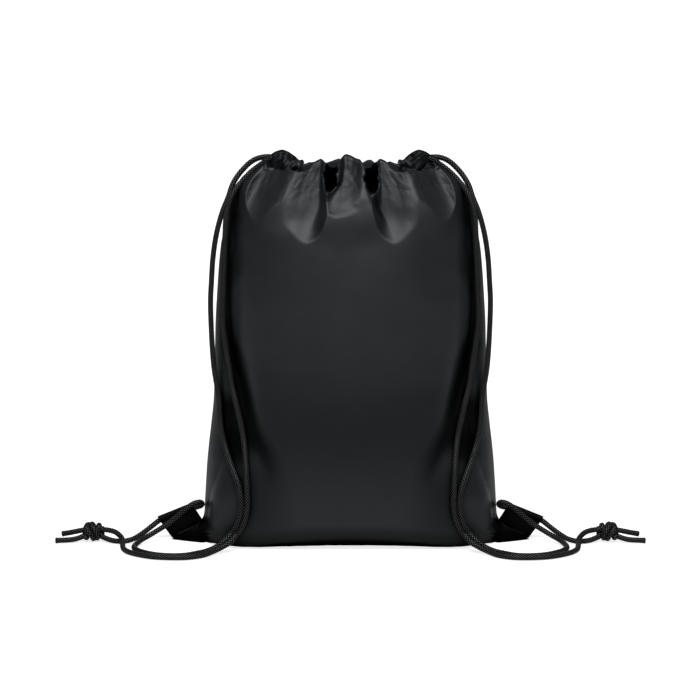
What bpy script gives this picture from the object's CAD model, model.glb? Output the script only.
"""A black drawstring backpack standing on the floor, with braided cords as shoulder straps.

X runs across the bag, -Y is its front and +Z is up; the middle of the bottom is at the origin.
"left" is the -X side. Lengths are millimetres until MM turns them into metres.
"""
import math
from functools import partial

import bpy
import numpy as np
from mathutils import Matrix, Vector, noise


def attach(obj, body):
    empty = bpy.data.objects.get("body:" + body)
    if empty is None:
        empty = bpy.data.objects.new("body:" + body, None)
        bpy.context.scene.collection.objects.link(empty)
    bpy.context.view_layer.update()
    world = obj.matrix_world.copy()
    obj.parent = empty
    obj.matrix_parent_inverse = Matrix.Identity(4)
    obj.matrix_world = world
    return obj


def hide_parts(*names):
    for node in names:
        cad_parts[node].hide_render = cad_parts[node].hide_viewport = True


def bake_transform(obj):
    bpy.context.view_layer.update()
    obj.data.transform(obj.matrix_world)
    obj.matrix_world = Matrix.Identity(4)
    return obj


MM = 0.001
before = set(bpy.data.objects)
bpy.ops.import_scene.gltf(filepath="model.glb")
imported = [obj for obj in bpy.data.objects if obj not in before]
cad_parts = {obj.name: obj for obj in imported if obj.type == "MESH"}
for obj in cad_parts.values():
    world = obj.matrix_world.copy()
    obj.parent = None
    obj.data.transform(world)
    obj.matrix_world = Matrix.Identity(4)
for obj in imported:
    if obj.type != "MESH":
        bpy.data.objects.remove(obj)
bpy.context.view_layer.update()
SIDES = ((-1, "left"), (1, "right"))

# cord
CORD_R = 2.7
KNOT_CORD_R = 2.75
THREAD_R = 0.25
BARTACK_R = 0.26
BRAID_STRANDS = 6
BRAID_PITCH = 18.6
CORD_SIDES = 28
RING = 0.5        # distance between the rings of a cord
CASING_RING = RING * 1.6
STRAND_SMOOTHING = 24
KNOT_SMOOTHING = 14

# cloth
CLOTH = 0.35
TAB_CLOTH = 0.45
ALLOWANCE_CLOTH = 0.5
YARN = 0.42                         # pitch of the weave
SEAM_GAP = 0.12                     # half the gap between front and back where they are sewn
INNER_GAP = 0.35                    # least depth of the casing's inner skin
CASING_SEAM_Z = 350.0               # casing seam where the top edge is at CASING_TOP_Z
CASING_TOP_Z = 372.0
MOUTH_X = 79.0
COLUMNS = 236
LOWER_ROWS = 104
UPPER_ROWS = 62
OUTER_ROWS, INNER_ROWS = ((44, 18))


# ------------------------------------------------------------ curves and blends
def cubic(t, start, end, start_pull, end_pull):
    """Cubic Hermite curve; the pulls are the slopes at its ends."""
    return ((2 * t**3 - 3 * t**2 + 1) * start + (t**3 - 2 * t**2 + t) * start_pull
            + (-2 * t**3 + 3 * t**2) * end + (t**3 - t**2) * end_pull)


def curve(stations, values):
    """A smooth function through points, without overshoot."""
    stations, values = np.asarray(stations, float), np.asarray(values, float)
    gaps = np.diff(stations)
    rises = np.diff(values) / gaps
    before, after = rises[:-1], rises[1:]
    same = before * after > 0
    slopes = np.zeros_like(values)
    slopes[1:-1] = np.where(same, 2 * before * after / np.where(same, before + after, 1.0), 0.0)
    slopes[0], slopes[-1] = rises[0], rises[-1]

    def value_at(place):
        place = np.clip(np.asarray(place, float), stations[0], stations[-1])
        i = np.clip(np.searchsorted(stations, place) - 1, 0, len(stations) - 2)
        t = (place - stations[i]) / gaps[i]
        return cubic(t, values[i], values[i + 1], gaps[i] * slopes[i], gaps[i] * slopes[i + 1])
    return value_at


def soft_min(a, b, softness):
    part = np.clip(0.5 + 0.5 * (b - a) / softness, 0, 1)
    return b * (1 - part) + a * part - softness * part * (1 - part)


def soft_max(a, b, softness):
    return -soft_min(-a, -b, softness)


def step(start, end, value):
    """Eased ramp, 0 at start and 1 at end; start may be the larger."""
    part = np.clip((value - start) / (end - start), 0, 1)
    return part * part * (3 - 2 * part)


def bell(offset, width):
    return np.exp(-(offset / width) ** 2)


def wobble(x, y, z, size, seed):
    """Smooth noise at points given as arrays."""
    x, y, z = np.broadcast_arrays(x, y, z)
    values = (noise.noise(Vector((a / size + seed, b / size - seed, c / size + 2 * seed)))
              for a, b, c in zip(x.ravel(), y.ravel(), z.ravel()))
    return np.fromiter(values, float, x.size).reshape(x.shape)


# ------------------------------------------------------------- the bag's outline
# Each table is a row of stations and a row of values.
# half width at the side seam, by height; near the floor it runs out into the flat corner
SEAM = curve(
    [0, 5, 10, 16, 21, 27, 45, 75, 95, 115, 144, 193, 214,
     242, 270, 292, 312, 331, 341, 349, 355, 359, 365, 370, 376, 383],
    [176, 167.5, 159, 149.5, 145, 143.6, 142.5, 140.5, 138.5, 136, 133, 131.4, 130.8,
     129.1, 127, 124.6, 120, 114, 111.5, 108.5, 104.5, 100.5, 91.5, 84.5, 79, 77])
# half width of the filled body without the flat corner, by height
BODY = curve(
    [0, 6, 14, 27, 45, 75, 95, 144, 193, 214, 242, 270,
     292, 312, 331, 341, 349, 355, 359, 365, 370, 376, 383],
    [141.5, 143, 144, 143.6, 142.5, 140.5, 138.5, 133, 131.4, 130.8, 129.1, 127,
     124.6, 120, 114, 111.5, 108.5, 104.5, 100.5, 91.5, 84.5, 79, 77])
# the belly by height: half width, exponent of its superellipse, depth
PILLOW_W = curve(
    [0, 20, 45, 70, 110, 170, 242, 292, 320, 340, 352, 362, 370, 383],
    [139, 139, 136.5, 129, 118, 115, 119, 119, 116, 110, 103, 93, 84, 76])
PILLOW_N = curve([0, 40, 75, 120, 170, 383], [4, 3.8, 3, 2.4, 2.25, 2.25])
PILLOW_D = curve(
    [0, 12, 24, 45, 95, 144, 193, 242, 275, 300, 320, 338, 352, 362, 372, 383],
    [44, 49, 53, 58, 64, 68, 69.5, 68.5, 66, 62.3, 57.5, 51, 44.5, 39, 34.5, 30.5])
# depth of the flatter cloth beside the belly, by height
FLANK_D = curve([0, 25, 60, 110, 170, 242, 292, 330, 350, 362, 383],
                [26, 30, 32, 29, 27, 28, 29, 27, 21, 15, 9])
# distance of the valley beside the belly from the middle, by height
VALLEY = curve(
    [60, 74, 88, 108, 127, 156, 185, 204, 243, 262, 277, 295, 317, 340, 360],
    [72, 78, 84, 94, 97.5, 103, 112, 116, 115, 114, 112, 109.5, 109.5, 112, 106])
# how far in front of the middle the front's bottom edge touches the floor, by |x|
FOOT = curve([0, 30, 68, 97, 117, 134, 150, 166, 176],
             [26.5, 27, 30.5, 34.2, 28, 20.2, 15, 8.6, 4])
# height of the casings' top edges, by x
FRONT_EDGE = curve(
    [-80, -77, -71, -65, -60, -54, -51, -48, -45, -42, -39, -36.5, -33.6, -30.8, -28,
     -25, -22, -18.6, -15, -12, -8, -4, 0, 5, 9, 12, 15, 18.6, 22, 25,
     28, 31, 34, 37, 40, 43, 46, 49, 52, 55, 60, 65, 71, 77, 80],
    [374, 377, 381, 382.5, 381, 377.6, 375, 371.4, 366.8, 364.6, 366.5, 370.3, 372.6, 374, 375,
     373.5, 370, 366, 366.5, 371, 377, 379.3, 378.3, 376, 375, 371, 366.5, 366, 370, 373,
     375, 374.2, 372.5, 370, 366.5, 364.6, 366.8, 371.4, 375, 377.6, 381, 382.5, 381, 377, 374])
BACK_EDGE = curve(
    [-80, -77, -70, -62, -56, -50, -45, -40, -35, -29, -23, -18, -14, -9, -4, 2,
     8, 13, 17, 22, 27, 33, 38, 42, 46, 50, 56, 62, 70, 77, 80],
    [373, 376, 379, 378, 373, 368, 366.5, 368, 369.5, 366, 368, 369.5, 370.5, 371, 367, 366,
     366, 368.5, 370, 369, 366, 367, 369, 367.5, 366.5, 368, 373, 378, 379, 376, 373])

# ------------------------------------------------------------- cord routes, left side
# Points (x, y, z) of the centre line; ON stands for the y where the cord touches the front.
ON = None
# the inner strand, out of the front casing, down the bag and along the floor
INNER_LEAD = [(-81.6, -5, 371.6), (-86.9, -4.4, 367.8)]
INNER = [
    (-92.6, -4.5, 363.6), (-97.6, -5.6, 359.2), (-102, -7.2, 354.2), (-107, -9.4, 349),
    (-111.6, -12.5, 342.5), (-115.4, -15.4, 334), (-118.5, -18.2, 320), (-119.4, -19.6, 306),
    (-120, -20.2, 290), (-120.8, -19.8, 273), (-121.6, -19.3, 256), (-122.3, -19, 240),
    (-122.5, -18.8, 216), (-119.9, -19.6, 196), (-116.8, ON, 176), (-114.2, ON, 158),
    (-110.2, ON, 143), (-106.6, ON, 127), (-103.4, ON, 111), (-101.2, ON, 94),
    (-99.9, ON, 77), (-99, ON, 60), (-98.8, ON, 46), (-101.2, ON, 32.4)]
INNER_FLOOR = [
    (-104.9, ON, 23), (-109.3, ON, 16.5), (-115.9, -54.5, 10), (-123.6, -58, 6),
    (-132.5, -65, 3.4), (-141, -75, 2.7), (-153.7, -82, 2.7), (-165.1, -83.3, 2.7),
    (-176.5, -82.6, 2.7), (-188, -80.2, 2.7), (-200.1, -73.6, 2.7), (-206.6, -68.6, 2.7),
    (-212.9, -62, 2.7), (-217.6, -53.4, 2.7)]
FRONT_LEG = [
    (-219.6, -45.5, 3.2), (-220.6, -38, 4.8), (-221.5, -31, 6.7), (-223.9, -25, 8.4),
    (-229.1, -19.5, 11), (-236.7, -15, 12), (-242.6, -13, 12)]
# the outer strand, out of the back casing
OUTER_LEAD = [(-83.5, 4.6, 375), (-90.5, 4.2, 373.2)]
OUTER = [
    (-97, 3.6, 369.2), (-100.4, 3, 366), (-106.6, 0.6, 359.2), (-113, -3.5, 349),
    (-116.5, -7, 338.5), (-122, -11, 325), (-126.2, -13.4, 311), (-129.4, -14.8, 296),
    (-131.9, -15.4, 277), (-133.2, -15.6, 258), (-134.3, -15.4, 240), (-134.2, -15.2, 222),
    (-133.6, -15, 203), (-132.8, -15.2, 187), (-131.4, -15.8, 171), (-129.2, -16.8, 157),
    (-127.4, ON, 144), (-126.4, ON, 126), (-124.6, ON, 111), (-120.6, ON, 96),
    (-115.8, ON, 85), (-110.8, ON, 74), (-107, ON, 64.5), (-104.8, ON, 53), (-104.6, ON, 42)]
OUTER_FLOOR = [
    (-106.8, ON, 32), (-109.6, ON, 25), (-114.4, ON, 17), (-121.5, -52.6, 10.6),
    (-129.5, -54.6, 5.4), (-138.5, -61, 3), (-147.5, -68, 2.7), (-156.5, -74.6, 2.7),
    (-166.3, -76.6, 2.7), (-177.2, -75.6, 2.7), (-186.5, -72.4, 2.7), (-195.5, -66.2, 2.7),
    (-202.8, -58.8, 2.7), (-207.6, -51, 2.7)]
# through the corner tab and out towards the knot
TAB_PASS = [
    (-209, -45, 2.8), (-208.4, -39, 3.1), (-207, -33, 3.6), (-203.5, -25, 4.8),
    (-197.2, -18, 7), (-190, -13.5, 10.4), (-179.7, -11, 16.6), (-169.6, -10.2, 24.7),
    (-160.9, -9.8, 32), (-153.6, -8.6, 37), (-147, -6.2, 38), (-145, -3, 35),
    (-148, -0.4, 32.2), (-154.3, 0, 30.8), (-169.8, 0, 25.3), (-185.8, 0, 19)]
BACK_LEG = [
    (-189.6, -0.8, 16.9), (-194.5, -3.4, 13.4), (-200.1, -8, 9.8), (-206.4, -14, 6.4),
    (-212.8, -19.6, 4), (-221.6, -22.8, 2.8), (-232.3, -20.6, 3), (-240.2, -17.2, 4.8),
    (-244, -15, 6)]
KNOT = np.array([-252.6, -11.4, 9.8])       # centre of the knot
UPPER_TAIL = [
    (-257.5, -10.6, 11), (-262.5, -11, 10.8), (-268, -11.2, 9.8), (-273.3, -10.8, 8.6),
    (-278, -10, 7.6), (-282, -9.3, 6.8)]
LOWER_TAIL = [
    (-257.5, -13.6, 7.6), (-262.5, -16.8, 5.6), (-268, -18.2, 4), (-273, -18.6, 3.2),
    (-280, -19.2, 2.9), (-287.4, -19.8, 2.8)]

# ------------------------------------------------------------- gathers of the cloth
# the two large gathers beside the middle, by height: distance from the middle, and the
# widths of the inner wall and the outer slope
LOBE_Z = [290, 299, 308, 318, 335, 352, 377, 386]
LOBE_LINE = curve(LOBE_Z, [43.5, 43, 40, 36.8, 31.2, 30, 28.6, 28.4])
LOBE_IN = curve(LOBE_Z, [14, 13.5, 12, 9.5, 6.4, 4.6, 4, 3.8])
LOBE_OUT = curve(LOBE_Z, [24, 24.5, 24.5, 24, 22.5, 22.5, 24, 25])
# the gather in the middle, by height: x, and the widths of its left and right slopes
MID_Z = [318, 325, 329, 336, 343, 357, 371, 386]
MID_LINE = curve(MID_Z, [-14, -14, -15.6, -15.6, -13.2, -6.6, -5, -5])
MID_LEFT = curve(MID_Z, [10, 11, 12.2, 9.6, 7.6, 3.4, 3.9, 3.9])
MID_RIGHT = curve(MID_Z, [24, 26, 26, 19.4, 16.2, 12.4, 11.4, 11.4])
# the puff on the shoulder: distance from the middle, by height
PUFF_LINE = curve([312, 326, 340, 352, 363, 375], [101, 100, 94.5, 88.5, 84, 80])
# the black folds between the gathers: side, |x| and z of the lower end, and the widths
# towards and away from the middle
FRONT_FOLDS = ((-1, 18.8, 345.5, 6.8, 7.2), (1, 20.6, 344.5, 7.6, 7.4))
# gathers of the back: x, z and depth at the lower end, x at the top, width
BACK_GATHERS = ((-58, 316, 51.5, -46, 17), (-24, 304, 57.5, -22, 15), (12, 312, 57.5, 10, 14),
                (46, 302, 56, 38, 18), (74, 326, 41, 60, 13))
BACK_FOLDS = (-36.0, -6.0, 25.0, 52.0)      # x of the narrow folds at the back's mouth


def part_way(z, bottom, top):
    return np.clip((z - bottom) / (top - bottom), -0.5, 1.15)


def falling(z, lower, upper, curl=1.0):
    """Depth along a gather's line, from (height, depth) to (height, depth)."""
    part = part_way(z, lower[0], upper[0])
    return lower[1] - (lower[1] - upper[1]) * (1 - np.exp(-curl * part)) / (1 - math.exp(-curl))


def facet(x, z, lower, upper, left, right, lift, curl, narrow):
    """Depth of a straight gather from lower to upper, both (x, z, depth).

    left and right are its widths, which lose the share narrow on the way up."""
    part = part_way(z, lower[1], upper[1])
    line = lower[0] + (upper[0] - lower[0]) * part
    slim = 1 - narrow * np.clip(part, 0, 1)
    width = np.where(x < line, left * slim, right * slim)
    return falling(z, lower[1:], upper[1:], curl) + lift * np.abs((x - line) / width) ** 2.0


def leaf(offset, z, depth, inner, outer, lift):
    """A gather with a steep inner wall and a long outer slope; offset is from its line."""
    away = np.abs(offset)
    return depth + lift * np.where(offset < 0, (away / inner(z)) ** 1.8,
                                   (away / outer(z)) ** 1.55)


# ------------------------------------------------------------- depth of front and back
# Depth is measured from the plane between front and back; out is |x|.
def proud(x, z):
    """Depth of the filled panel before any gathers."""
    out = np.abs(x)
    body = BODY(z)
    half, power = np.minimum(PILLOW_W(z), body), PILLOW_N(z)
    round_off = np.maximum(0.0, 1 - np.minimum(out / half, 1.0) ** power) ** (1 / power)
    pillow = PILLOW_D(z) * round_off
    share = np.minimum(out / body, 1.0)
    flank = FLANK_D(z) * np.sqrt(np.maximum(0.0, 1 - share ** 7))
    depth = soft_max(pillow, flank, 9.0 + 6.0 * step(130.0, 80.0, z))
    # hollows beside the belly, where the side flattens towards the corner
    depth = depth - 6.5 * bell(out - 84.0 - 0.10 * (z - 90), 21.0) * bell(z - 92.0, 34.0)
    # the valley beside the belly where the strands lie, wider outwards low down
    offset = out - VALLEY(z)
    outer_width = 6.0 + 20.0 * step(140.0, 96.0, z)
    valley = np.where(offset < 0, bell(offset, 10.0), bell(offset, outer_width))
    depth = depth - 8.0 * valley * step(66, 112, z) * step(352, 322, z)
    # nothing at the seam itself
    share = np.minimum(out / np.maximum(body, 1), 1.0)
    depth = depth * np.sqrt(np.maximum(0.0, 1 - share ** 40))
    # the cloth rolls under at the floor
    roll = np.clip(z / (15.5 - 11.0 * bell(out - 100, 34)), 0, 1)
    foot = np.minimum(FOOT(out) * (1 - step(132.0, 145.0, out)), np.maximum(depth, 0.4))
    depth = foot + (depth - foot) * np.sqrt(1 - (1 - roll) ** 2)
    # the thin flat corner
    ear = 0.9 * np.sqrt(np.maximum(0.0, 1 - np.minimum(out / SEAM(z), 1.0) ** 24))
    return np.where(z < 32, np.maximum(depth, ear), depth)


def plane_y(x, z):
    """Y of the plane between front and back: the flat corners reach forwards on the floor."""
    out = np.abs(x)
    forward = (FOOT(out) + 2.0) * (1 - np.clip(z / 17.0, 0, 1)) ** 0.14
    return step(132.0, 145.0, out) * (2.0 - forward)


def ledge(x, z):
    """1 above the level lip over the ends of the front casing, 0 elsewhere."""
    out = np.abs(x)
    lip = 364.6 + 0.5 * np.sin(0.35 * out) + 1.4 * step(66, 74, out)
    return step(0.0, 1.0, (z - lip) / 2.6) * step(35.0, 50.0, out) * step(80.0, 73.0, out)


def tuck(x, z):
    """How far the cloth behind the lip sinks."""
    return 3.4 * ledge(x, z) * (1 - step(366.0, 377.0, z))


def gathered(x, z):
    """Depth of the front with its gathers, and how much of it the black folds cut away."""
    depth = proud(x, z)
    # the two large gathers either side of the middle
    offset = np.abs(x) - LOBE_LINE(z)
    lobe = leaf(offset, z, falling(z, (299.0, 60.4), (377.0, 23.0)), LOBE_IN, LOBE_OUT, lift=6.0)
    softness = 1.3 + 3.4 * step(4.0, 14.0, offset) * step(306.0, 322.0, z)
    depth = soft_min(depth, lobe, softness)
    # the gather in the middle, lower end to the left
    middle = leaf(x - MID_LINE(z), z, falling(z, (324.5, 55.6), (379.0, 22.5)),
                  MID_LEFT, MID_RIGHT, lift=5.0)
    depth = soft_min(depth, middle, 1.5)
    # deep black folds between them
    uncut = depth
    for side, fold_x, fold_z, inner, outer in FRONT_FOLDS:
        ragged = 1.0 + 0.13 * np.sin(0.42 * z + 2.1 * side) + 0.08 * np.sin(0.9 * z)
        fold = facet(x * side, z, (fold_x + 0.8, fold_z, 46.0), (fold_x - 0.5, 372.0, 14.4),
                     inner * ragged, outer / ragged, lift=30.0, curl=6.5, narrow=-0.10)
        depth = soft_min(depth, fold, 2.2)
    return depth, uncut - depth


def slanting_fold(x, z):
    """A fold running down to the right of the middle: share of its length, offset from it."""
    part = (350.0 - z) / 34.0
    return part, x - (17.0 + 17.0 * part)


def front_depth(x, z):
    depth = gathered(x, z)[0]
    out = np.abs(x)
    # the slanting fold and the low ridge beside it
    part, offset = slanting_fold(x, z)
    depth = depth - 2.4 * bell(offset, 3.2) * step(-0.1, 0.2, part) * step(1.1, 0.45, part)
    depth = depth + 0.6 * bell(offset + 8.0, 6.5) * step(0.0, 0.3, part) * step(1.1, 0.5, part)
    # over the ends of the casing the front drops back behind a level lip
    depth = depth - np.maximum(depth - (18.5 - 0.50 * (z - 366.0)), 0) * ledge(x, z)
    # narrow fold at the casing's mouth
    fold = bell(out - (82.5 - 0.42 * (z - 358)), 2.4)
    depth = depth - 8.0 * fold * step(346, 354, z) * step(380, 372, z)
    # the puff on the shoulder
    reach = out - PUFF_LINE(z)
    away = np.abs(reach)
    puff = falling(z, (326.0, 30.4), (364.0, 12.0), curl=0.3) + 4.0 * np.where(
        reach < 0, (away / 9.0) ** 1.4, (away / 10.5) ** 1.7)
    softness = 1.4 + 3.0 * step(-2.0, -9.0, reach) * step(330.0, 340.0, z)
    return np.where(z > 316, soft_min(depth, puff, softness), depth)


def back_depth(x, z):
    depth = proud(x, z)
    for low_x, low_z, low_depth, top_x, width in BACK_GATHERS:
        gather = facet(x, z, (low_x, low_z, low_depth), (top_x, 378.0, 20.0), width, width,
                       lift=7.5, curl=1.9, narrow=0.5)
        depth = soft_min(depth, gather, 1.6)
    for fold_x in BACK_FOLDS:
        fold = facet(x, z, (fold_x, 350.0, 44.0), (fold_x, 378.0, 10.0), 5.5, 5.5,
                     lift=28.0, curl=3.0, narrow=0.0)
        depth = soft_min(depth, fold, 2.2)
    return depth


def creases(x, z, depth, seed):
    """Small wrinkles that add to the depth."""
    out = np.abs(x)
    # slack in the cloth
    slack = (1.5 * wobble(x, 0.0, z * 0.8, 52.0, seed)
             + 0.7 * wobble(x, 0.0, z, 23.0, seed + 3))
    # pull lines fanning out from the mouth
    fan = x / np.maximum(30.0, 60.0 + 0.55 * (372.0 - z)) * 46.0
    pull = wobble(fan, 0.0, z * 0.14, 5.2, seed + 9) * step(255, 352, z) * 0.55
    fine = wobble(fan, 0.0, z * 0.4, 2.6, seed + 5) * step(320, 365, z) * 0.5
    # puckers along the side seam and the floor
    edge = SEAM(z) - out
    pucker = (1.5 * wobble(0.0, edge * 0.25, z, 7.5, seed + 1)
              * np.exp(-edge / 9.0) * step(12, 40, z))
    foot = (0.9 * wobble(x, 0.0, z * 0.3, 10.0, seed + 2)
            * np.exp(-z / 12.0) * step(132, 124, out))
    # diagonal lines at the lower corner
    diagonal = wobble((out - 142) * 0.85 + z * 0.55, 0.0,
                      ((out - 142) * -0.55 + z) * 0.2, 13.0, seed + 7)
    corner = 0.4 * diagonal * bell(np.hypot(out - 132, z - 40), 48.0)
    # crumpled ends of the casing
    crumple = (4.2 * wobble(x - 0.8 * z, 0.0, z + 0.3 * x, 6.5, seed + 4)
               * step(362, 368, z) * step(44, 50, out) * step(384, 378, z))
    fade = step(0.0, 14.0, np.minimum(depth, 40.0))
    return (slack + pull + fine + pucker + foot + corner) * fade + crumple * step(3.0, 9.0, depth)


# ------------------------------------------------------------- light lost in the folds
# the hollow beside the belly, by height: |x| where it is black and where it has faded out
HOLLOW_Z = [50, 66, 90, 113, 137, 160, 179, 196, 214, 233, 253, 270, 286, 304, 321, 338, 350, 365]
HOLLOW_EDGE = curve(HOLLOW_Z, [92, 90, 86, 91, 96, 101.5, 108, 112, 116.5, 118, 115.8, 111, 109.5,
                               110.5, 109.5, 107.5, 106.5, 104])
HOLLOW_FADE = curve(HOLLOW_Z, [34, 34, 40, 64, 82, 89, 92, 101, 110.5, 113, 107.5, 98, 99,
                               99, 98, 104, 104.6, 103])
# how dark the hollow is, by height
HOLLOW_DARK = curve(
    [0, 20, 36, 66, 90, 113, 137, 160, 196, 214, 233, 253, 270, 286, 304, 321, 338, 346, 356],
    [0.24, 0.32, 0.40, 0.45, 0.60, 0.78, 0.85, 0.85, 0.80, 0.62, 0.40, 0.52, 0.66, 0.50, 0.52,
     0.82, 0.95, 0.90, 0])


def strand_at(points, z):
    """Distance from the middle of a hanging strand at a height."""
    rising = np.array([(point[2], -point[0]) for point in points])[::-1]
    return np.interp(z, rising[:, 0], rising[:, 1])


def corner_gloom(out, z):
    """Dark of the flat corner."""
    rim = np.interp(z, [0, 3, 8, 12, 20, 27, 31], [131.5, 134.6, 138, 140.5, 143.6, 146, 152])
    return 0.90 * step(rim - 1.6, rim + 1.0, out) * step(33, 28, z)


def front_gloom(x, z):
    """How much light the folds of the front swallow, 0..1."""
    out = np.abs(x)
    inner, outer = strand_at(INNER, z), strand_at(OUTER, z)
    hollow = HOLLOW_DARK(z) * step(HOLLOW_FADE(z), HOLLOW_EDGE(z), out)
    beyond = step(inner + 1.5, inner + 5.0, out) * step(275.0, 250.0, z)
    part, offset = slanting_fold(x, z)
    under = 2.6 + 10.5 * np.clip(1 - (out / 98.0) ** 2, 0, 1)
    glooms = (
        # the lower belly and the foot of the gathers
        0.40 * bell(z - 122.0, 58.0) * step(108.0, 84.0, out),
        0.36 * bell(z - 311.0, 15.0) * step(42.0, 28.0, out),
        # the shoulder
        0.10 * bell(out - 78.0, 12.0) * step(322.0, 342.0, z) * step(368.0, 358.0, z),
        0.30 * bell(out - 102.0, 7.0) * bell(z - 332.0, 12.0),
        # the crumpled ends of the casing, and the cloth just above the floor
        0.58 * step(48.0, 54.0, out) * step(366.0, 371.0, z),
        0.36 * step(30.0, 14.0, z),
        # the slanting fold
        0.62 * bell(offset, 4.6) * step(0.05, 0.35, part) * step(1.15, 0.7, part),
        # between the two strands
        (0.85 * step(inner - 1.0, inner + 1.5, out) * step(outer + 1.0, outer - 2.0, out)
         * step(74, 92, z) * step(160, 138, z)),
        # the flat corner and the cloth that turns under
        corner_gloom(out, z),
        0.96 * step(under * 1.35, under * 0.62, z),
        # the deep folds at the mouth
        0.96 * step(1.0, 5.0, gathered(x, z)[1]),
    )
    shade = hollow * (1 - beyond)
    for gloom in glooms:
        shade = np.maximum(shade, gloom)
    return shade


def back_gloom(x, z):
    return np.maximum(0.9 * step(9.0, 4.0, z), corner_gloom(np.abs(x), z))


# ---------------------------------------------------------------- shader helpers
def new_material(name):
    mat = bpy.data.materials.new(name)
    mat.use_nodes = True
    tree = mat.node_tree
    tree.nodes.clear()
    output = tree.nodes.new("ShaderNodeOutputMaterial")
    bsdf = tree.nodes.new("ShaderNodeBsdfPrincipled")
    tree.links.new(bsdf.outputs[0], output.inputs[0])
    return mat, tree, bsdf


def math_node(tree, operation, first, second=None, clamp=False):
    node = tree.nodes.new("ShaderNodeMath")
    node.operation = operation
    node.use_clamp = clamp
    for i, value in enumerate((first, second)):
        if value is None:
            continue
        if isinstance(value, (int, float)):
            node.inputs[i].default_value = value
        else:
            tree.links.new(value, node.inputs[i])
    return node.outputs[0]


def noise_node(tree, scale, detail):
    """Noise over the object's own coordinates."""
    coord = tree.nodes.new("ShaderNodeTexCoord")
    node = tree.nodes.new("ShaderNodeTexNoise")
    node.inputs["Scale"].default_value = scale
    node.inputs["Detail"].default_value = detail
    node.inputs["Roughness"].default_value = 0.55
    tree.links.new(coord.outputs["Object"], node.inputs["Vector"])
    return node.outputs[0]


def ramp(tree, value, stops):
    """Colour ramp with three stops of (position, red, green, blue)."""
    node = tree.nodes.new("ShaderNodeValToRGB")
    elements = node.color_ramp.elements
    first, middle, last = stops
    for element, stop in ((elements[0], first), (elements[1], last)):
        element.position, element.color = stop[0], (*stop[1:], 1)
    elements.new(middle[0]).color = (*middle[1:], 1)
    tree.links.new(value, node.inputs[0])
    return node.outputs[0]


def cavity(tree, reach, power):
    """1 in the open, towards 0 deep in a fold; reach is in metres."""
    node = tree.nodes.new("ShaderNodeAmbientOcclusion")
    node.samples = 6
    node.inputs["Distance"].default_value = reach
    return math_node(tree, "POWER", node.outputs["AO"], power)


def bump_node(tree, height, strength, distance, normal=None):
    node = tree.nodes.new("ShaderNodeBump")
    node.inputs["Strength"].default_value = strength
    node.inputs["Distance"].default_value = distance
    tree.links.new(height, node.inputs["Height"])
    if normal is not None:
        tree.links.new(normal, node.inputs["Normal"])
    return node.outputs[0]


def cloth_coords(tree):
    """The two coordinates of the "cloth" UV map, in millimetres."""
    uv_map = tree.nodes.new("ShaderNodeUVMap")
    uv_map.uv_map = "cloth"
    split = tree.nodes.new("ShaderNodeSeparateXYZ")
    tree.links.new(uv_map.outputs[0], split.inputs[0])
    return split.outputs[0], split.outputs[1]


# ---------------------------------------------------------------- materials
def fabric_material():
    """Black plain-weave polyester with a soft sheen."""
    mat, tree, bsdf = new_material("black_polyester")
    calc = partial(math_node, tree)
    across, along = cloth_coords(tree)

    def wave(coord, rate):
        return calc("SINE", calc("MULTIPLY", coord, rate))

    # yarns both ways, and the squares where they go over and under
    rate = 2 * math.pi / YARN
    yarns = calc("ADD", wave(across, rate), wave(along, rate))
    over = calc("MULTIPLY", wave(across, rate / 2), wave(along, rate / 2))
    weave = calc("ADD", calc("MULTIPLY", yarns, 0.25), calc("MULTIPLY", over, 0.5))

    # tint: broad patches, slubs and a little of the weave
    broad = noise_node(tree, scale=26.0, detail=4.0)
    slub = noise_node(tree, scale=900.0, detail=2.0)
    tint = calc("ADD", calc("MULTIPLY", broad, 0.7), calc("MULTIPLY", slub, 0.3))
    tint = calc("ADD", tint, calc("MULTIPLY", weave, 0.10))
    colour = ramp(tree, tint, [(0.30, 0.0060, 0.0080, 0.0096), (0.55, 0.0078, 0.0103, 0.0124),
                               (0.80, 0.0096, 0.0126, 0.0150)])

    # wide and narrow folds, and the "dark" attribute, take light away
    shade = calc("MULTIPLY", cavity(tree, reach=0.026, power=0.9),
                 cavity(tree, reach=0.009, power=0.9))
    gloom = tree.nodes.new("ShaderNodeAttribute")
    gloom.attribute_name = "dark"
    shade = calc("MULTIPLY", shade, calc("SUBTRACT", 1.0, gloom.outputs["Fac"], clamp=True))
    shaded = tree.nodes.new("ShaderNodeMix")
    shaded.data_type = "RGBA"
    shaded.blend_type = "MULTIPLY"
    shaded.inputs[0].default_value = 1.0
    tree.links.new(colour, shaded.inputs[6])
    tree.links.new(shade, shaded.inputs[7])
    tree.links.new(shaded.outputs[2], bsdf.inputs["Base Color"])
    tree.links.new(calc("MULTIPLY", shade, 0.42), bsdf.inputs["Specular IOR Level"])
    tree.links.new(calc("ADD", calc("MULTIPLY", broad, 0.08), 0.40), bsdf.inputs["Roughness"])
    tree.links.new(calc("MULTIPLY", shade, 0.03), bsdf.inputs["Sheen Weight"])
    bsdf.inputs["Sheen Roughness"].default_value = 0.45
    bsdf.inputs["Sheen Tint"].default_value = (0.75, 0.80, 0.82, 1)

    woven = bump_node(tree, weave, strength=0.22, distance=0.00008)
    uneven = noise_node(tree, scale=180.0, detail=3.0)
    normal = bump_node(tree, uneven, strength=0.10, distance=0.0006, normal=woven)
    tree.links.new(normal, bsdf.inputs["Normal"])
    return mat


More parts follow.
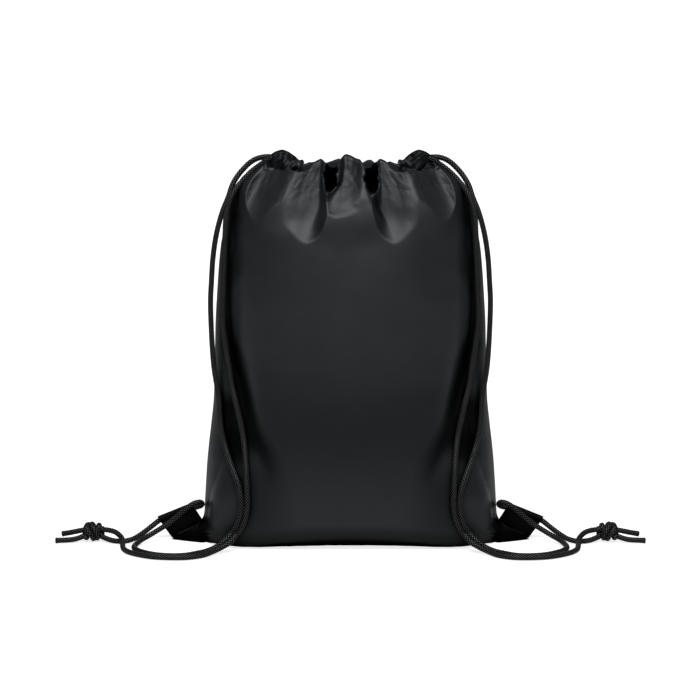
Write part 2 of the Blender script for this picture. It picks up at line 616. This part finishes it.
def cord_material(name, base, light):
    """Braided polyester: base is the grey in the grooves, light the grey on the crests."""
    mat, tree, bsdf = new_material(name)
    calc = partial(math_node, tree)
    around, along = cloth_coords(tree)

    def slanted(operation, turn, climb):
        return calc(operation, calc("MULTIPLY", around, turn), calc("MULTIPLY", along, climb))

    # crests of the braid, at the same places as in the mesh
    turn, climb = BRAID_STRANDS / 2 / CORD_R, math.pi * BRAID_STRANDS / BRAID_PITCH
    ridges = [calc("ABSOLUTE", calc("COSINE", slanted(way, turn, climb)))
              for way in ("ADD", "SUBTRACT")]
    crest = calc("MULTIPLY", *ridges)
    # single yarns, as crossing waves in radians per millimetre
    waves = [calc("SINE", slanted(way, 9.0, 7.0)) for way in ("ADD", "SUBTRACT")]
    yarn = calc("MULTIPLY", calc("ADD", *waves), 0.25)
    fuzz = noise_node(tree, scale=1500.0, detail=2.0)
    value = calc("ADD", calc("MULTIPLY", yarn, 0.22), calc("MULTIPLY", crest, 0.85))
    value = calc("ADD", value, calc("MULTIPLY", fuzz, 0.18))
    colour = ramp(tree, value, [(0.30, base * 0.4, base * 0.45, base * 0.5),
                                (0.58, base * 1.6, base * 1.7, base * 1.75),
                                (0.92, light, light * 1.06, light * 1.10)])
    tree.links.new(colour, bsdf.inputs["Base Color"])
    bsdf.inputs["Roughness"].default_value = 0.46
    # only the crests shine
    shine = calc("MULTIPLY", calc("POWER", crest, 1.6), 0.62)
    tree.links.new(calc("MULTIPLY", cavity(tree, reach=0.0022, power=1.4), shine),
                   bsdf.inputs["Specular IOR Level"])
    bsdf.inputs["Sheen Weight"].default_value = 0.01
    tree.links.new(bump_node(tree, value, strength=0.35, distance=0.00012),
                   bsdf.inputs["Normal"])
    return mat


FABRIC = fabric_material()
CORD = cord_material("black_cord", base=0.0020, light=0.075)
THREAD = cord_material("black_thread", base=0.007, light=0.020)
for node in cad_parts.values():
    if node.type == "MESH":
        corded = any(word in node.name for word in ("cord", "strand", "leg"))
        node.data.materials.clear()
        node.data.materials.append(CORD if corded else FABRIC)


# -------------------------------------------------------------- mesh makers
def link(obj):
    bpy.context.scene.collection.objects.link(obj)
    return obj


def grid_mesh(name, grid, uv, material, closed=False, dark=None):
    """A mesh from an array rows x columns x 3 in millimetres.

    uv holds the cloth coordinate of each column and of each row. A closed grid joins its last
    column to its first."""
    rows, cols = grid.shape[:2]
    index = np.arange(rows * cols).reshape(rows, cols)
    if closed:
        index = np.concatenate([index, index[:, :1]], 1)
    quads = np.stack([index[:-1, :-1], index[:-1, 1:], index[1:, 1:], index[1:, :-1]], -1)
    quads = quads.reshape(-1, 4)
    mesh = bpy.data.meshes.new(name)
    mesh.vertices.add(rows * cols)
    mesh.vertices.foreach_set("co", (grid.reshape(-1, 3) * MM).astype(np.float32).ravel())
    mesh.loops.add(quads.size)
    mesh.loops.foreach_set("vertex_index", quads.ravel().astype(np.int32))
    mesh.polygons.add(len(quads))
    mesh.polygons.foreach_set("loop_start", (np.arange(len(quads)) * 4).astype(np.int32))
    mesh.update(calc_edges=True)

    layer = mesh.uv_layers.new(name="cloth")
    col, row = np.meshgrid(np.arange(index.shape[1] - 1), np.arange(index.shape[0] - 1))
    corners = [np.stack([uv[0][col + right], uv[1][row + up]], -1)
               for right, up in ((0, 0), (1, 0), (1, 1), (0, 1))]
    layer.data.foreach_set("uv", np.stack(corners, 2).astype(np.float32).ravel())
    if dark is not None:
        layer = mesh.attributes.new("dark", "FLOAT", "POINT")
        values = np.broadcast_to(dark, (rows, cols)).astype(np.float32)
        layer.data.foreach_set("value", values.ravel())
    mesh.shade_smooth()
    mesh.validate()
    mesh.materials.append(material)
    return link(bpy.data.objects.new(name, mesh))


def solidify(obj, thickness, offset, rim):
    mod = obj.modifiers.new("cloth", "SOLIDIFY")
    mod.thickness = thickness * MM
    mod.offset = offset
    mod.use_rim = rim


def register(obj, body, node=None):
    """Tell the frame which CAD node a piece stands for and what carries it.

    body is a name, or (from body, to body, start, stop) with the places in metres."""
    if node:
        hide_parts(node)
    if isinstance(body, str):
        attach(obj, body)
    else:
        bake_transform(obj)


def mirrored(points, side):
    """Points given for the left side, as they lie on the given side."""
    points = np.asarray(points, float).copy()
    if side > 0:
        points[..., 0] *= -1
    return points


def bend(from_body, to_body, start, stop, side):
    """A blend between two bodies, with its places given for the left side in millimetres."""
    return (from_body, to_body, tuple(mirrored(start, side) * MM),
            tuple(mirrored(stop, side) * MM))


def arc_lengths(points):
    return np.concatenate([[0], np.cumsum(np.linalg.norm(np.diff(points, axis=0), axis=1))])


def cloth_uv(grid):
    """Millimetres of cloth, measured on the row and the column a third of the way along."""
    return arc_lengths(grid[grid.shape[0] // 3]), arc_lengths(grid[:, grid.shape[1] // 3])


def spline(points, spacing):
    """Evenly spaced points on a smooth curve through the given ones, and their arc lengths."""
    points = np.asarray(points, float)
    points = np.vstack([2 * points[0] - points[1], points, 2 * points[-1] - points[-2]])
    t = np.linspace(0, 1, 40, endpoint=False)[:, None]
    pieces = []
    for i in range(1, len(points) - 2):
        before, start, end, after = points[i - 1:i + 3]
        gap_in, gap, gap_out = (max(np.linalg.norm(b - a), 1e-6) ** 0.5
                                for a, b in ((before, start), (start, end), (end, after)))
        chord = end - start
        start_pull = chord + gap * ((start - before) / gap_in - (end - before) / (gap_in + gap))
        end_pull = chord + gap * ((after - end) / gap_out - (after - start) / (gap + gap_out))
        pieces.append(cubic(t, start, end, start_pull, end_pull))
    dense = np.vstack(pieces + [points[-2][None]])
    run = arc_lengths(dense)
    count = max(2, int(round(run[-1] / spacing)) + 1)
    places = np.linspace(0, run[-1], count)
    return np.stack([np.interp(places, run, dense[:, k]) for k in range(3)], 1), places


def smooth_line(path, times):
    path = path.copy()
    for _ in range(times):
        path[1:-1] = 0.25 * path[:-2] + 0.5 * path[1:-1] + 0.25 * path[2:]
    return path


def carry(path):
    """Tangent, side and up vectors along a path, turned as little as possible."""
    tangents = np.gradient(path, axis=0)
    tangents /= np.linalg.norm(tangents, axis=1)[:, None]
    across = np.cross(tangents[0], (0, 0, 1.0))
    if np.linalg.norm(across) < 0.2:        # a path that starts upright
        across = np.cross(tangents[0], (0, 1.0, 0))
    sides = []
    for tangent in tangents:
        across = across - tangent * (across @ tangent)
        across /= np.linalg.norm(across)
        sides.append(across.copy())
    sides = np.array(sides)
    return tangents, sides, np.cross(sides, tangents)


def braid(angle, run, radius):
    """Radius of a round braid: two sets of strands that go over and under each other."""
    turn = BRAID_STRANDS * angle / 2
    climb = math.pi * BRAID_STRANDS * run / BRAID_PITCH
    crest = np.sqrt(np.abs(np.cos(turn + climb)) * np.abs(np.cos(turn - climb)))
    return radius * (0.84 + 0.17 * crest)


# the rounded cut end of a cord: share of the last ring's radius, and distance beyond it
CAP = ((0.97, 0.25), (0.86, 0.55), (0.55, 0.75), (0.0, 0.8))


def cord(name, path, start_at=0.0, radius=CORD_R, capped=False, swell=None, material=CORD):
    """A braided cord along evenly spaced points; swell scales the radius of each ring."""
    tangents, side, up = carry(path)
    run = start_at + arc_lengths(path)
    angles = np.linspace(0, 2 * math.pi, CORD_SIDES, endpoint=False)
    radii = braid(angles[None, :], run[:, None], radius)
    if swell is not None:
        radii = radii * swell[:, None]
    rings = path[:, None, :] + radii[..., None] * (
        np.cos(angles)[None, :, None] * side[:, None, :]
        + np.sin(angles)[None, :, None] * up[:, None, :])
    if capped:
        end = path[-1]
        cap = [end + (rings[-1] - end) * share + tangents[-1] * beyond for share, beyond in CAP]
        rings = np.concatenate([rings, np.array(cap)], 0)
        run = np.concatenate([run, [run[-1] + beyond for _, beyond in CAP]])
    around = np.append(angles, 2 * math.pi) * radius
    return grid_mesh(name, rings, (around, run), material, closed=True)


# ----------------------------------------------------------- panels and casings
# Columns are given by their share of the half width, -1..1; sign is -1 for the front.
LOWEST_ROWS = [0.0, 1.0, 2.4, 4.2, 6.5, 9.5, 13.0]
LOWER_START, LOWER_END = 17.0, 288.0
UNDER_SHARES = (0.0, 0.08, 0.3, 0.6, 0.88)      # rows under the bag, from bottom seam to edge
CASING_ROLL = 3.2                               # radius of the fold at the top edge
STITCH_LENGTH, STITCH_GAP, STITCH_R = 2.3, 0.8, 0.20
STITCH_RINGS = STITCH_SIDES = 6


def column_shares():
    """Columns, closer together towards the side seams."""
    even = np.linspace(-1, 1, COLUMNS)
    return np.sign(even) * (1 - (1 - np.abs(even)) ** 1.12)


def top_of(edge, shares):
    """Height of the top edge in each column."""
    x = shares * MOUTH_X
    for _ in range(6):
        z = edge(x)
        x = shares * SEAM(z)
    return z


def bottom_seam_y(x):
    return 8.5 * (1 - (np.abs(x) / 140) ** 6)


def make_panel(shares, seam_z, sign, depth_at, gloom_at, seed):
    """The panel below the casing: its grid, its dark and the depth of its top row."""
    rows = [np.full_like(shares, z)
            for z in LOWEST_ROWS + list(np.linspace(LOWER_START, LOWER_END, LOWER_ROWS))]
    rows += [LOWER_END + (seam_z - LOWER_END) * (k / UPPER_ROWS)
             for k in range(1, UPPER_ROWS + 1)]
    z = np.array(rows)
    x = shares[None, :] * SEAM(z)
    depth = depth_at(x, z)
    dark = gloom_at(x, z)
    depth = np.maximum(depth + creases(x, z, depth, seed), 0.0)
    # the stitches pull the cloth in
    groove = 0.05 * bell(z - seam_z[None, :], 1.3)
    depth = np.maximum(depth - groove * step(0, 8, depth), 0.0)
    y = plane_y(x, z) + sign * np.maximum(depth, SEAM_GAP)
    panel = np.stack([x, y, z], -1)
    # under the bag, inwards to the bottom seam
    flat = 1 - np.minimum(np.abs(x[0]) / 143.0, 1.0) ** 6
    start = 8.5 * flat + plane_y(x[0], z[0]) + sign * SEAM_GAP
    under = [np.stack([x[0], start + (y[0] - start) * share, np.zeros_like(shares)], -1)
             for share in UNDER_SHARES]
    panel = np.concatenate([np.array(under), panel], 0)
    dark = np.concatenate([np.full((len(under), len(shares)), 0.95), dark], 0)
    return panel, dark, depth[-1]


def make_casing(shares, seam_z, top, seam_depth, sign, depth_at, gloom_at, seed):
    """The casing's outer skin, its fold over the cords and its inner skin; grid and dark."""
    height = (top - seam_z)[None, :]
    z = seam_z[None, :] + height * np.linspace(0, 1, OUTER_ROWS)[:, None] ** 0.9
    below_top = np.minimum(z, (top - CASING_ROLL * 0.2)[None, :])
    x = shares[None, :] * SEAM(z)
    depth = depth_at(x, below_top)
    depth = np.maximum(depth + creases(x, below_top, depth, seed), 0.3)
    depth[0] = np.maximum(seam_depth, SEAM_GAP)
    # round the outer skin over at the top
    near = np.clip((z - (top[None, :] - CASING_ROLL)) / CASING_ROLL, 0, 1)
    rounded = depth - CASING_ROLL * (1 - np.sqrt(np.maximum(0, 1 - near ** 2))) * 0.9
    rounded = np.maximum(rounded, 0.3)
    sink = tuck(x, z) if sign < 0 else 0.0
    outer = np.stack([x, sign * rounded, z - sink], -1)
    # over the top
    thick = np.clip(depth[-1] - 1.6, 1.0, 5.5)
    inner = []
    for k in range(1, 5):
        t = k / 4
        row = np.maximum(rounded[-1] - (thick - CASING_ROLL) * 0.9 * t, INNER_GAP)
        inner.append(np.stack([x[-1], sign * row, top + 0.5 * np.sin(math.pi * t)], -1))
    # down the inside, back to the casing seam
    start = np.minimum(depth[-1] - thick, 12.0)
    for k in range(1, INNER_ROWS + 1):
        t = k / INNER_ROWS
        row_z = top - (top - seam_z + 1.0) * t
        row_x = shares * SEAM(row_z)
        rest = np.minimum(2.4 + 0.4 * np.sin(0.55 * row_x), start)
        row = start + (rest - start) * step(0.0, 0.34, t)
        row = row + (np.maximum(seam_depth - 1.2, INNER_GAP) - row) * step(0.80, 1.0, t)
        row = np.clip(row, INNER_GAP, None)
        row = np.minimum(row, np.maximum(depth_at(row_x, row_z) - 0.8, INNER_GAP))
        inner.append(np.stack([row_x, sign * row, row_z], -1))
    casing = np.concatenate([outer, np.array(inner)], 0)
    dark = gloom_at(x, below_top)
    fade = np.linspace(0, 1, len(inner))[:, None]
    dark = np.concatenate([dark, dark[-1] + (0.45 - dark[-1]) * fade], 0)
    return casing, dark


def make_stitches(name, seam_row, sign):
    """A row of stitches along the casing seam, sunk into the groove."""
    row = seam_row[np.abs(seam_row[:, 0]) < 104]
    path, places = spline(row[::3], 0.5)
    path[:, 1] += sign * 0.14
    path[:, 2] -= 0.4
    _, side, up = carry(path)
    points, quads = [], []
    at = 0.0
    while at + STITCH_LENGTH < places[-1]:
        first = len(points)
        for part in np.linspace(0, 1, STITCH_RINGS):
            i = int(np.searchsorted(places, at + part * STITCH_LENGTH))
            lift = 0.20 * math.sin(math.pi * part) - 0.12
            taper = 0.45 + 0.55 * math.sin(math.pi * min(max(part, 0.06), 0.94))
            radius = STITCH_R * taper
            for angle in np.linspace(0, 2 * math.pi, STITCH_SIDES, endpoint=False):
                spoke = math.cos(angle) * side[i] + math.sin(angle) * up[i]
                points.append(path[i] + np.array([0, sign * lift, 0]) + radius * spoke)
        for k in range(STITCH_RINGS - 1):
            ring = first + k * STITCH_SIDES
            for a in range(STITCH_SIDES):
                b = (a + 1) % STITCH_SIDES
                quads.append((ring + a, ring + b,
                              ring + STITCH_SIDES + b, ring + STITCH_SIDES + a))
        at += STITCH_LENGTH + STITCH_GAP
    mesh = bpy.data.meshes.new(name)
    mesh.from_pydata([tuple(point * MM) for point in points], [], quads)
    mesh.shade_smooth()
    mesh.uv_layers.new(name="cloth")
    mesh.materials.append(THREAD)
    return link(bpy.data.objects.new(name, mesh))


def make_side(word, sign, edge, depth_at, gloom_at, seed):
    shares = column_shares()
    top = top_of(edge, shares)
    seam_z = CASING_SEAM_Z + 0.22 * (top - CASING_TOP_Z)
    panel, panel_dark, seam_depth = make_panel(shares, seam_z, sign, depth_at, gloom_at, seed)
    casing, casing_dark = make_casing(shares, seam_z, top, seam_depth, sign, depth_at,
                                      gloom_at, seed)
    # the lip moves against the bag between these heights
    body = ("bag", f"{word}_lip", (0, 0.03 * sign, 0.318), (0, 0.03 * sign, 0.352))
    for part, grid, dark in (("panel", panel, panel_dark), ("casing", casing, casing_dark)):
        if sign > 0:                # so that the faces point outwards on the back too
            grid, dark = grid[:, ::-1], dark[:, ::-1]
        cloth = grid_mesh(f"{word}_{part}_cloth", grid, cloth_uv(grid), FABRIC, dark=dark)
        solidify(cloth, CLOTH, offset=-1.0, rim=False)
        register(cloth, body, f"{word}_{part}")
    stitches = make_stitches(f"{word}_casing_stitches", panel[-1], sign)
    register(stitches, body, f"{word}_casing_stitching")


make_side("front", -1, FRONT_EDGE, front_depth, front_gloom, seed=2.3)
make_side("back", 1, BACK_EDGE, back_depth, back_gloom, seed=8.1)


# -------------------------------------------------------------------- cords
FLOOR_BLEND = 34.0          # length over which a strand passes from the strap to the bag


def rest_on_front(x, z):
    """Y of a cord's centre lying against the front at this place."""
    reach = CORD_R + 0.2
    best = 0.0
    for dx in np.linspace(-reach, reach, 9):
        for dz in (-reach * 0.7, 0.0, reach * 0.7):
            rest = reach * reach - dx * dx - dz * dz
            if rest <= 0:
                continue
            near_z = np.array([max(z + dz, 0.0)])
            near_x = np.array([x + dx])
            if abs(near_x[0]) >= SEAM(near_z)[0]:
                continue
            best = max(best, float(front_depth(near_x, near_z)[0]) + math.sqrt(rest))
    return -best


def lay(points):
    return [(x, rest_on_front(x, z) if y is ON else y, z) for x, y, z in points]


def above_floor(path):
    path[:, 2] = np.maximum(path[:, 2], CORD_R + 0.05)
    return path


def nearest(path, point):
    return int(np.argmin(np.linalg.norm(path - np.array(point), axis=1)))


def put_cord(name, path, body, stands_in=True, **shape):
    obj = cord(f"{name}_braid", path, **shape)
    register(obj, body, name if stands_in else None)


def casing_run(side, word, lip, sign):
    """One cord through one casing; returns its ends at its own side and at the far side."""
    x = np.linspace(-77.0, 77.0, 45)
    near = step(40.0, 76.0, x * side)
    far = step(40.0, 76.0, -x * side)
    ends = np.maximum(near, far)
    # the two cords lie one in front of the other and draw together at the mouths
    depth = 8.2 - side * 2.75 * (1 - ends) - 3.0 * ends
    z = 357.0 + 18.0 * near + 9.5 * far + 0.7 * np.sin(x * 0.21)
    run = smooth_line(np.stack([x, sign * depth, z], 1), 2)
    put_cord(f"{word}_cord_{lip}_run", spline(run, CASING_RING)[0], f"{lip}_lip")
    return (run[0], run[-1]) if side < 0 else (run[-1], run[0])


def far_turn(side, word, front, back):
    """The cord's turn from the front casing to the back one at the far side."""
    points = [front, front + np.array([-side * 2.4, 1.0, -0.2]),
              (front + back) / 2 + np.array([-side * 4.6, 0, -0.4]),
              back + np.array([-side * 2.4, -1.0, -0.2]), back]
    put_cord(f"{word}_cord_far_turn", spline(points, CASING_RING)[0], "bag")


def strand(side, word, lip, mouth, route, last_name, last_body):
    """A cord from the casing's mouth, down the bag and along the floor, in four pieces."""
    lead, hang, floor_run, last = route
    whole = [mirrored(mouth, side)] + lead + lay(hang) + lay(floor_run) + last
    path, places = spline(whole, RING)
    path = above_floor(smooth_line(path, STRAND_SMOOTHING))
    exit_end = int(np.argmax(path[:, 0] < -90.0))
    floor_end = nearest(path, floor_run[-1])
    floor_start = floor_end - int(FLOOR_BLEND / RING)
    strap = f"{word}_strap"

    def piece(name, start, stop, body, stands_in=True):
        put_cord(f"{word}_{name}", mirrored(path[start:stop], side), body, stands_in,
                 start_at=places[start])

    piece(f"cord_{lip}_exit", 0, exit_end + 1,
          bend("bag", f"{lip}_lip", (-88.0, 0, 371.0), (-76.0, 0, 373.0), side))
    piece(f"strap_{lip}_strand", exit_end, floor_start + 1,
          bend("bag", strap, (-90.0, 0, 371.5), (-112.0, -4.0, 345.0), side))
    piece(f"strap_{lip}_floor", floor_start, floor_end + 1,
          bend(strap, "bag", path[floor_start], path[floor_end], side), stands_in=False)
    piece(last_name, floor_end, None, last_body)


def back_leg(side, word):
    """From the corner tab to the knot."""
    path = spline(TAB_PASS[-2:] + BACK_LEG, RING)[0]
    path = above_floor(path[nearest(path, TAB_PASS[-1]):])
    put_cord(f"{word}_knot_leg_back", mirrored(path, side),
             bend("bag", f"{word}_cord_end", (-185.8, 0, 19.0), (-205.0, -12.0, 8.0), side))


def knot_strand(k):
    """Centre line, from in to out, of one of the two cords wound round the X axis."""
    up = 1 if k == 0 else -1
    points = [(11.5, -1.6 * up, 2.9 * up), (7.5, -0.8 * up, 2.8 * up), (2.0, 0.4 * up, 2.7 * up),
              (-3.6, 1.8 * up, 3.0 * up), (-7.2, 4.0 * up, 3.6 * up)]
    start = math.pi / 2 * up
    turns = np.linspace(start - 1.15, start + 2 * math.pi * 0.98, 17)
    for j, angle in enumerate(turns):
        x = -6.6 + 12.2 * (j / 16) + 1.9 * math.sin(2 * angle + k)
        radius = 7.3 - 1.6 * (x / 7.6) ** 2
        points.append((x, radius * 1.05 * math.cos(angle), radius * 0.98 * math.sin(angle)))
    last = turns[-1] + 0.7
    points += [(6.2, 3.6 * math.cos(last), 3.6 * math.sin(last)), (1.0, -2.7 * up, 0.6 * up),
               (-5.0, -1.6 * up, 1.4 * up), (-9.0, 0.5 * up, 1.6 * up)]
    return np.array(points)


def knot(side, word):
    """Both cord ends in one overhand knot."""
    parts = []
    for k in (0, 1):
        path = smooth_line(spline(knot_strand(k) + KNOT, RING)[0], KNOT_SMOOTHING)
        parts.append(cord(f"{word}_knot_part_{k}", mirrored(path, side), radius=KNOT_CORD_R))
    bpy.ops.object.select_all(action="DESELECT")
    for part in parts:
        part.select_set(True)
    bpy.context.view_layer.objects.active = parts[0]
    bpy.ops.object.join()
    parts[0].name = f"{word}_knot_braid"
    register(parts[0], f"{word}_cord_end", f"{word}_cord_knot")


def tail(side, word, name, points):
    """A loose end beyond the knot, flared over its last 5 mm."""
    path, places = spline(points, RING)
    flare = 1 + 0.10 * np.clip((places - places[-1] + 5.0) / 5.0, 0, 1) ** 2
    put_cord(f"{word}_cord_{name}_tail", mirrored(smooth_line(path, 4), side),
             f"{word}_cord_end", capped=True, swell=flare)


for side, word in SIDES:
    front_near, front_far = casing_run(side, word, "front", -1)
    back_near, back_far = casing_run(side, word, "back", 1)
    far_turn(side, word, front_far, back_far)
    leg_body = bend("bag", f"{word}_cord_end", (-219.6, -46.0, 3.0), (-232.0, -18.0, 11.0), side)
    strand(side, word, "front", front_near, (INNER_LEAD, INNER, INNER_FLOOR, FRONT_LEG),
           "knot_leg_front", leg_body)
    strand(side, word, "back", back_near, (OUTER_LEAD, OUTER, OUTER_FLOOR, TAB_PASS),
           "cord_tab_pass", "bag")
    back_leg(side, word)
    knot(side, word)
    tail(side, word, "upper", UPPER_TAIL)
    tail(side, word, "lower", LOWER_TAIL)


# ----------------------------------------------------- corner tabs and seam allowances
# the loop's axis from its outer to its inner end, and the way its two leaves hang
TAB_OUTER, TAB_INNER = np.array([-187.4, 0.0, 18.5]), np.array([-154.6, 0.0, 32.0])
TAB_DROP = np.array([0.55, 0.0, -0.835])
TAB_LENGTHS = (22.4, 27.0)          # at the outer and the inner end
TAB_COLUMNS = 26
TACK_LOW, TACK_HIGH = np.array([-170.0, 0.0, 5.0]), np.array([-150.0, 0.0, 13.4])
TACK_ACROSS = np.array([11.4, 0, -19.4]) / 22.5
ALLOWANCE_BOTTOM, ALLOWANCE_TOP = 30, 344


def corner_tab(side, word):
    """A tab folded round the cord, its two leaves reaching down to the corner."""
    rows = []
    for i in range(TAB_COLUMNS):
        part = i / (TAB_COLUMNS - 1)
        base = TAB_OUTER + (TAB_INNER - TAB_OUTER) * part
        length = TAB_LENGTHS[0] + (TAB_LENGTHS[1] - TAB_LENGTHS[0]) * part

        def leaf_point(t, sign, ripple):
            y = 1.85 * (1 - t) ** 1.5 + 0.75 + ripple
            return base + TAB_DROP * (2.6 + (length - 2.6) * t) + np.array([0, sign * y, 0])

        down = np.linspace(1, 0, 12)
        ring = [leaf_point(t, -1, 0.35 * math.sin(9 * part + 5 * t)) for t in down]
        for angle in np.linspace(-2.3, 2.3, 21):
            ring.append(base + TAB_DROP * (-3.9 * math.cos(angle))
                        + np.array([0, 3.5 * math.sin(angle), 0]))
        ring += [leaf_point(t, 1, 0.3 * math.sin(7 * part + 4 * t + 1)) for t in down[::-1]]
        rows.append(ring)
    grid = mirrored(np.array(rows), side)
    grid[..., 2] = np.maximum(grid[..., 2], 0.3)
    if side > 0:
        grid = grid[::-1]
    tab = grid_mesh(f"{word}_corner_tab_cloth", grid, cloth_uv(grid), FABRIC, dark=0.82)
    solidify(tab, TAB_CLOTH, offset=0.0, rim=True)
    register(tab, "bag", f"{word}_corner_tab")


def bartack(side, word):
    """A zigzag of thread across the tab."""
    points = []
    for k in range(45):
        middle = TACK_LOW + (TACK_HIGH - TACK_LOW) * (k / 44)
        points.append(middle + TACK_ACROSS * (1.1 if k % 2 else -1.1) + np.array([0, -2.35, 0]))
    path = spline(points, 0.45)[0]
    thread = cord(f"{word}_tab_bartack_thread", mirrored(path, side), radius=BARTACK_R,
                  material=THREAD)
    register(thread, "bag", f"{word}_tab_bartack")


def allowance(name, strip, node):
    obj = grid_mesh(name, strip, cloth_uv(strip), FABRIC)
    solidify(obj, ALLOWANCE_CLOTH, offset=0.0, rim=True)
    register(obj, "bag", node)


def side_allowance(side, word):
    """A narrow ruffled strip inside the side seam, with overlock thread round its edge."""
    z = np.linspace(ALLOWANCE_BOTTOM, ALLOWANCE_TOP, 110)
    strip = []
    for k, width in enumerate(np.linspace(0, 6.5, 6)):
        y = 0.5 * np.sin(z * 0.35 + k) * (k / 5)
        strip.append(np.stack([-(SEAM(z) - 1.0 - width - 1.2), y, z], 1))
    allowance(f"{word}_seam_allowance", mirrored(np.array(strip), side),
              f"{word}_seam_overlock")
    zigzag = []
    for k in range(220):
        z = ALLOWANCE_BOTTOM + (ALLOWANCE_TOP - ALLOWANCE_BOTTOM) * k / 219
        x = -(float(SEAM(z)) - 1.0 - (2.6 if k % 2 else 7.9))
        zigzag.append((x, 0.55 * (-1) ** (k // 2), z))
    path = spline(zigzag, 0.8)[0]
    thread = cord(f"{word}_overlock_thread", mirrored(path, side), radius=THREAD_R,
                  material=THREAD)
    register(thread, "bag")


def bottom_allowance():
    """The ruffled strip inside the bottom seam."""
    x = np.linspace(-122, 122, 90)
    strip = []
    for k, height in enumerate(np.linspace(0, 6.0, 6)):
        y = bottom_seam_y(x) + 0.6 * np.sin(x * 0.3 + k) * (k / 5)
        strip.append(np.stack([x, y, 0.7 + height + 0 * x], 1))
    allowance("bottom_seam_allowance", np.array(strip), "bottom_seam_overlock")


for side, word in SIDES:
    corner_tab(side, word)
    bartack(side, word)
    side_allowance(side, word)
bottom_allowance()


# -------------------------------------------------------------- the studio, in metres
def aim(obj, target):
    direction = Vector(target) - obj.location
    obj.rotation_euler = direction.to_track_quat("-Z", "Y").to_euler()


def area_light(name, at, target, size, power):
    data = bpy.data.lights.new(name, "AREA")
    data.shape = "RECTANGLE"
    data.size, data.size_y = size
    data.energy = power
    obj = link(bpy.data.objects.new(name, data))
    obj.location = at
    aim(obj, target)


def floor_material():
    """Pale floor that glows for the camera, brighter with distance, and faintly otherwise."""
    mat, tree, bsdf = new_material("pale_floor")
    calc = partial(math_node, tree)
    bsdf.inputs["Base Color"].default_value = (0.55, 0.55, 0.55, 1)
    bsdf.inputs["Roughness"].default_value = 0.9
    bsdf.inputs["Specular IOR Level"].default_value = 0.0
    bsdf.inputs["Emission Color"].default_value = (1, 1, 1, 1)
    geometry = tree.nodes.new("ShaderNodeNewGeometry")
    distance = tree.nodes.new("ShaderNodeVectorMath")
    distance.operation = "LENGTH"
    tree.links.new(geometry.outputs["Position"], distance.inputs[0])
    rise = tree.nodes.new("ShaderNodeMapRange")
    rise.inputs["From Min"].default_value = 0.35
    rise.inputs["From Max"].default_value = 1.1
    rise.inputs["To Min"].default_value = 0.78
    rise.inputs["To Max"].default_value = 1.02
    tree.links.new(distance.outputs["Value"], rise.inputs["Value"])
    seen = tree.nodes.new("ShaderNodeLightPath").outputs["Is Camera Ray"]
    shown = calc("MULTIPLY", rise.outputs[0], seen)
    other = calc("MULTIPLY", calc("SUBTRACT", 1.0, seen), 0.12)
    tree.links.new(calc("ADD", shown, other), bsdf.inputs["Emission Strength"])
    return mat


def make_floor(half, z):
    mesh = bpy.data.meshes.new("floor")
    corners = [(-half, -half, z), (half, -half, z), (half, half, z), (-half, half, z)]
    mesh.from_pydata(corners, [], [(0, 1, 2, 3)])
    obj = link(bpy.data.objects.new("floor", mesh))
    mesh.materials.append(floor_material())


def make_world(light, seen):
    """A white world with one strength for lighting and one for the camera."""
    world = bpy.data.worlds.new("studio")
    world.use_nodes = True
    tree = world.node_tree
    tree.nodes.clear()
    output = tree.nodes.new("ShaderNodeOutputWorld")
    mix = tree.nodes.new("ShaderNodeMixShader")
    rays = tree.nodes.new("ShaderNodeLightPath")
    tree.links.new(rays.outputs["Is Camera Ray"], mix.inputs[0])
    for i, strength in ((1, light), (2, seen)):
        background = tree.nodes.new("ShaderNodeBackground")
        background.inputs[0].default_value = (1, 1, 1, 1)
        background.inputs[1].default_value = strength
        tree.links.new(background.outputs[0], mix.inputs[i])
    tree.links.new(mix.outputs[0], output.inputs[0])
    bpy.context.scene.world = world


def make_camera(target, distance, elevation, lens, shift_x):
    data = bpy.data.cameras.new("camera")
    data.sensor_width = 36.0
    data.lens = lens
    data.clip_end = 50.0
    data.shift_x = shift_x
    obj = link(bpy.data.objects.new("camera", data))
    away = Vector((0, -math.cos(elevation), math.sin(elevation)))
    obj.location = Vector(target) + distance * away
    aim(obj, target)
    bpy.context.scene.camera = obj


make_floor(half=30.0, z=-0.0004)
area_light("key", at=(0.0, -1.30, 2.45), target=(0, 0, 0.22), size=(3.0, 0.8), power=72.0)
area_light("front", at=(0.0, -3.2, 1.5), target=(0, 0, 0.2), size=(1.4, 0.8), power=11.0)
area_light("behind", at=(0.0, 3.2, 1.3), target=(0, 0, 0.2), size=(1.6, 0.8), power=7.0)
make_world(light=0.07, seen=1.0)

view = bpy.context.scene.view_settings
view.view_transform = "Standard"
view.look = "None"
view.exposure = 0.0
make_camera(target=(0, 0, 0.188), distance=2.2, elevation=math.radians(10.0), lens=116.6,
            shift_x=-0.0007)
